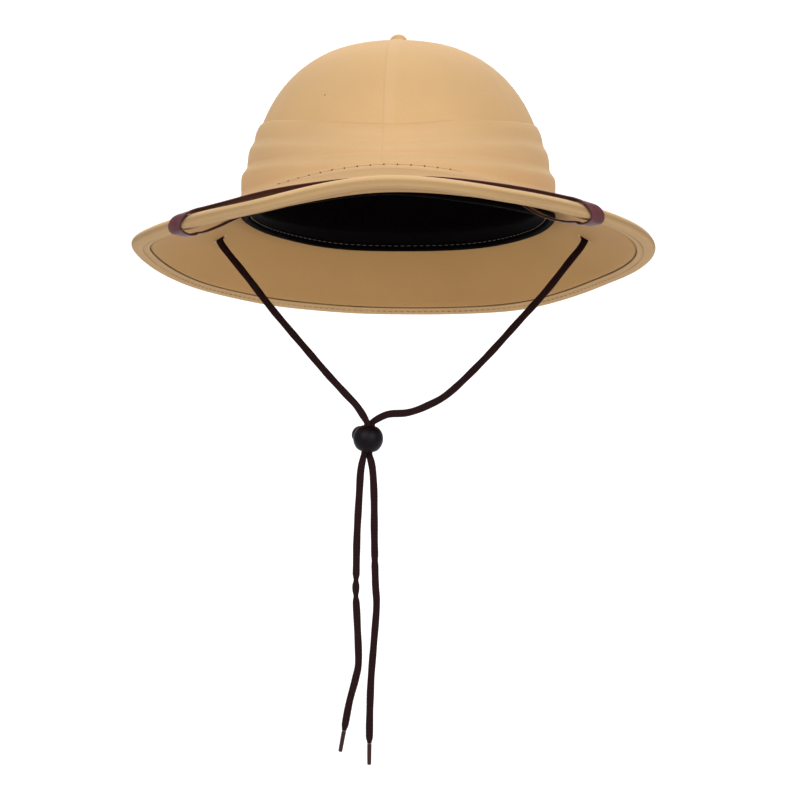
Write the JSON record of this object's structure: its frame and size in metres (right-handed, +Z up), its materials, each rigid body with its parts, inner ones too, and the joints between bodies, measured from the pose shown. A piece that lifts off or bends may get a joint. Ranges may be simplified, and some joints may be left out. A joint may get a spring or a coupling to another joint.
{
  "type": "safari hat",
  "caption": "Cloth-covered safari sun hat with a domed crown, pleated band, drooping rolled brim, leather brim strap and chin cord with a push-button cord lock.",
  "frame": {"origin": "centre of the head opening, at the height where the brim's upper side meets the foot of the crown at the sides", "axes": "+Z up as worn, the front of the hat looks along -Y, the wearer's left side is +X"},
  "size_m": [0.3206, 0.3486, 0.4431],
  "materials": {
    "khaki_cloth": "matte cotton drill",
    "tan_lining": "matte coated cloth",
    "black_vinyl": "semi-gloss ribbed vinyl",
    "brown_leather": "smooth polished leather",
    "dark_lace": "braided flat lace",
    "black_plastic": "fine moulded texture",
    "brown_plastic": "smooth"
  },
  "bodies": {
    "hat": {"crown": "khaki_cloth", "crown_button": "khaki_cloth", "pleated_band": "khaki_cloth", "brim": "khaki_cloth", "brim_lining": "tan_lining", "sweatband": "black_vinyl", "brim_strap": "brown_leather", "chin_cord_left": "dark_lace", "chin_cord_right": "dark_lace", "cord_lock_body": "black_plastic", "aglet_left": "brown_plastic", "aglet_right": "brown_plastic"},
    "push_button": {"cord_lock_plunger": "black_plastic"}
  },
  "joints": [
    {"name": "button_press", "type": "slide", "parent": "hat", "child": "push_button", "axis": [0.4891, -0.8471, -0.2079], "range_m": [0, 0.0025], "stiffness_N_per_m": 1000, "springref_m": -0.004}
  ]
}
